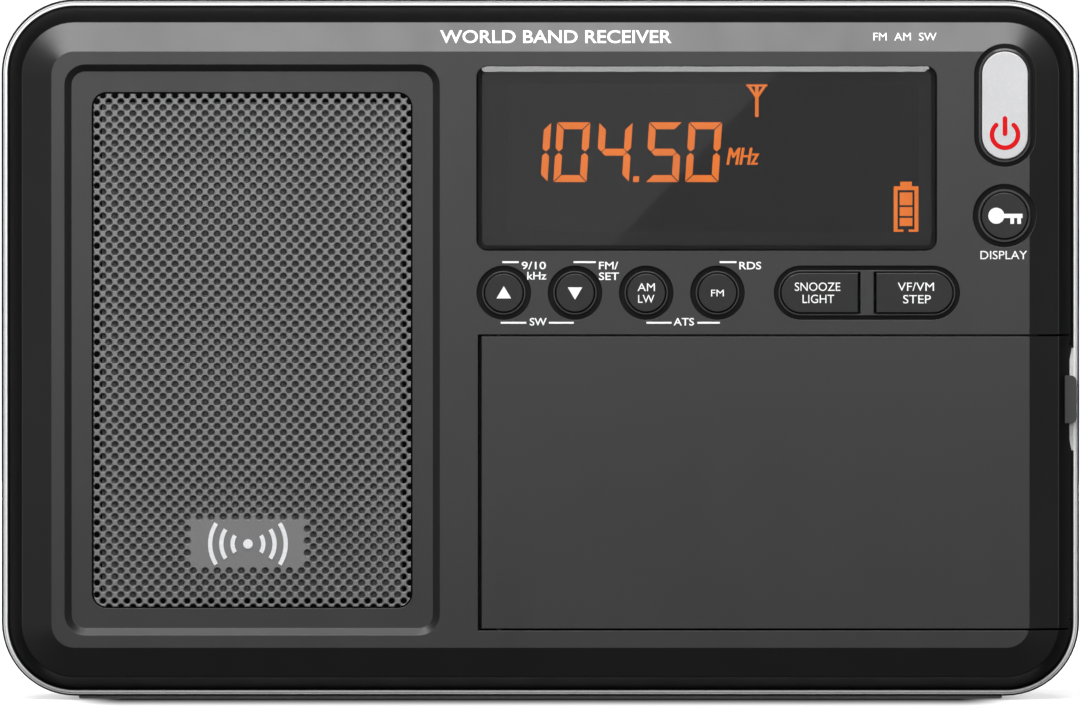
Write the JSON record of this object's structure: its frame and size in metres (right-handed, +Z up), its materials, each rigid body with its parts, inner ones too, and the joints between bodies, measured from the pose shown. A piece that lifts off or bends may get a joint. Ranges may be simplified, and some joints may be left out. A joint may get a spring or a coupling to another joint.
{
  "type": "portable shortwave receiver",
  "caption": "Slim rectangular travel radio with a metal speaker grille, a raised display window, push buttons, a hinged key cover, a folding stand and a telescopic antenna.",
  "frame": {"origin": "middle of the base, at the underside of the foot strip", "axes": "+X to the right of the front face, +Y from front to back (the front face looks along -Y), +Z up"},
  "size_m": [0.14, 0.029, 0.0909],
  "materials": {
    "charcoal_plastic": "satin",
    "black_plastic": "matte",
    "silver_trim": "satin",
    "grille_metal": "satin",
    "cloth": "matte",
    "pressed_steel": "satin",
    "paper_cone": "matte",
    "magnet": "matte",
    "lens": "gloss",
    "lcd": "gloss",
    "light_guide": "gloss",
    "white_plastic": "matte",
    "dark_rubber": "matte",
    "button_grey": "satin",
    "button_silver": "satin",
    "tab_grey": "matte",
    "steel": "satin",
    "board": "satin",
    "ferrite": "matte",
    "copper": "gloss",
    "component": "matte",
    "cell_jacket": "gloss",
    "chrome": "gloss"
  },
  "bodies": {
    "receiver": {"antenna_bracket": "steel", "battery_cells": "cell_jacket", "battery_contacts": "steel", "battery_springs": "steel", "board_components": "component", "board_screws": "steel", "button_surrounds": "black_plastic", "case_screws": "steel", "display_lens": "lens", "ferrite_coil": "copper", "ferrite_rod": "ferrite", "foot_strip": "dark_rubber", "front_case": "black_plastic", "front_fascia": "charcoal_plastic", "grille_cloth": "cloth", "headphone_jack": "component", "key_deck": "charcoal_plastic", "lcd_backlight": "light_guide", "lcd_connector": "dark_rubber", "lcd_frame": "white_plastic", "lcd_glass": "lcd", "main_board": "board", "power_socket": "component", "rear_case": "black_plastic", "rim_trim": "silver_trim", "speaker_cone": "paper_cone", "speaker_frame": "pressed_steel", "speaker_grille": "grille_metal", "speaker_magnet": "magnet", "speaker_screws": "steel", "tact_switches": "component", "wheel_encoders": "component"},
    "up_button": {"up_button": "button_grey"},
    "down_button": {"down_button": "button_grey"},
    "am_lw_button": {"am_lw_button": "button_grey"},
    "fm_button": {"fm_button": "button_grey"},
    "lock_button": {"lock_button": "button_grey"},
    "power_button": {"power_button": "button_silver"},
    "snooze_light_button": {"snooze_light_button": "button_grey"},
    "step_button": {"step_button": "button_grey"},
    "world_key": {"world_key": "button_grey"},
    "memory_key": {"memory_key": "button_grey"},
    "delete_key": {"delete_key": "button_grey"},
    "time_key": {"time_key": "button_grey"},
    "alarm_key": {"alarm_key": "button_grey"},
    "auto_key": {"auto_key": "button_grey"},
    "door": {"door_panel": "charcoal_plastic", "door_edge": "black_plastic", "door_pull_tab": "tab_grey", "door_hinge_pins": "steel"},
    "volume_wheel": {"volume_wheel": "black_plastic"},
    "tuning_wheel": {"tuning_wheel": "black_plastic"},
    "battery_door": {"battery_door": "black_plastic"},
    "stand": {"stand": "black_plastic"},
    "antenna_knuckle": {"antenna_knuckle": "chrome", "antenna_elbow_pin": "steel"},
    "antenna_mast": {"antenna_tube_1": "chrome"},
    "antenna_section_2": {"antenna_tube_2": "chrome"},
    "antenna_section_3": {"antenna_tube_3": "chrome"},
    "antenna_tip": {"antenna_tip": "chrome"}
  },
  "joints": [
    {"name": "up_button_press", "type": "slide", "parent": "receiver", "child": "up_button", "axis": [0, 1, 0], "range_m": [0, 0.0006], "stiffness_N_per_m": 900, "springref_m": -0.0003},
    {"name": "down_button_press", "type": "slide", "parent": "receiver", "child": "down_button", "axis": [0, 1, 0], "range_m": [0, 0.0006], "stiffness_N_per_m": 900, "springref_m": -0.0003},
    {"name": "am_lw_button_press", "type": "slide", "parent": "receiver", "child": "am_lw_button", "axis": [0, 1, 0], "range_m": [0, 0.0006], "stiffness_N_per_m": 900, "springref_m": -0.0003},
    {"name": "fm_button_press", "type": "slide", "parent": "receiver", "child": "fm_button", "axis": [0, 1, 0], "range_m": [0, 0.0006], "stiffness_N_per_m": 900, "springref_m": -0.0003},
    {"name": "lock_button_press", "type": "slide", "parent": "receiver", "child": "lock_button", "axis": [0, 1, 0], "range_m": [0, 0.0006], "stiffness_N_per_m": 900, "springref_m": -0.0003},
    {"name": "power_button_press", "type": "slide", "parent": "receiver", "child": "power_button", "axis": [0, 1, 0], "range_m": [0, 0.0006], "stiffness_N_per_m": 900, "springref_m": -0.0003},
    {"name": "snooze_light_button_press", "type": "slide", "parent": "receiver", "child": "snooze_light_button", "axis": [0, 1, 0], "range_m": [0, 0.0006], "stiffness_N_per_m": 900, "springref_m": -0.0003},
    {"name": "step_button_press", "type": "slide", "parent": "receiver", "child": "step_button", "axis": [0, 1, 0], "range_m": [0, 0.0006], "stiffness_N_per_m": 900, "springref_m": -0.0003},
    {"name": "world_key_press", "type": "slide", "parent": "receiver", "child": "world_key", "axis": [0, 1, 0], "range_m": [0, 0.0004], "stiffness_N_per_m": 900, "springref_m": -0.0003},
    {"name": "memory_key_press", "type": "slide", "parent": "receiver", "child": "memory_key", "axis": [0, 1, 0], "range_m": [0, 0.0004], "stiffness_N_per_m": 900, "springref_m": -0.0003},
    {"name": "delete_key_press", "type": "slide", "parent": "receiver", "child": "delete_key", "axis": [0, 1, 0], "range_m": [0, 0.0004], "stiffness_N_per_m": 900, "springref_m": -0.0003},
    {"name": "time_key_press", "type": "slide", "parent": "receiver", "child": "time_key", "axis": [0, 1, 0], "range_m": [0, 0.0004], "stiffness_N_per_m": 900, "springref_m": -0.0003},
    {"name": "alarm_key_press", "type": "slide", "parent": "receiver", "child": "alarm_key", "axis": [0, 1, 0], "range_m": [0, 0.0004], "stiffness_N_per_m": 900, "springref_m": -0.0003},
    {"name": "auto_key_press", "type": "slide", "parent": "receiver", "child": "auto_key", "axis": [0, 1, 0], "range_m": [0, 0.0004], "stiffness_N_per_m": 900, "springref_m": -0.0003},
    {"name": "door_hinge", "type": "hinge", "parent": "receiver", "child": "door", "pos_m": [-0.0054, -0.013, 0.0283], "axis": [0, 0, -1], "range_deg": [0, 110]},
    {"name": "volume_turn", "type": "hinge", "parent": "receiver", "child": "volume_wheel", "pos_m": [0.0609, 0.0038, 0.046], "axis": [0, 1, 0], "continuous": true},
    {"name": "tuning_turn", "type": "hinge", "parent": "receiver", "child": "tuning_wheel", "pos_m": [0.0609, 0.0038, 0.066], "axis": [0, 1, 0], "continuous": true},
    {"name": "battery_door_lift", "type": "slide", "parent": "receiver", "child": "battery_door", "axis": [0, 1, 0], "range_m": [0, 0.03]},
    {"name": "stand_hinge", "type": "hinge", "parent": "receiver", "child": "stand", "pos_m": [-0.037, 0.01335, 0.058], "axis": [1, 0, 0], "range_deg": [0, 62]},
    {"name": "antenna_swivel", "type": "hinge", "parent": "receiver", "child": "antenna_knuckle", "pos_m": [0.058, 0.0101, 0.0868], "axis": [0, 1, 0], "range_deg": [0, 175]},
    {"name": "antenna_tilt", "type": "hinge", "parent": "antenna_knuckle", "child": "antenna_mast", "pos_m": [0.052, 0.0101, 0.0868], "axis": [0, 0, -1], "range_deg": [0, 90]},
    {"name": "antenna_section_2_slide", "type": "slide", "parent": "antenna_mast", "child": "antenna_section_2", "axis": [-1, 0, 0], "range_m": [0, 0.088]},
    {"name": "antenna_section_3_slide", "type": "slide", "parent": "antenna_section_2", "child": "antenna_section_3", "axis": [-1, 0, 0], "range_m": [0, 0.088]},
    {"name": "antenna_tip_slide", "type": "slide", "parent": "antenna_section_3", "child": "antenna_tip", "axis": [-1, 0, 0], "range_m": [0, 0.088]}
  ]
}
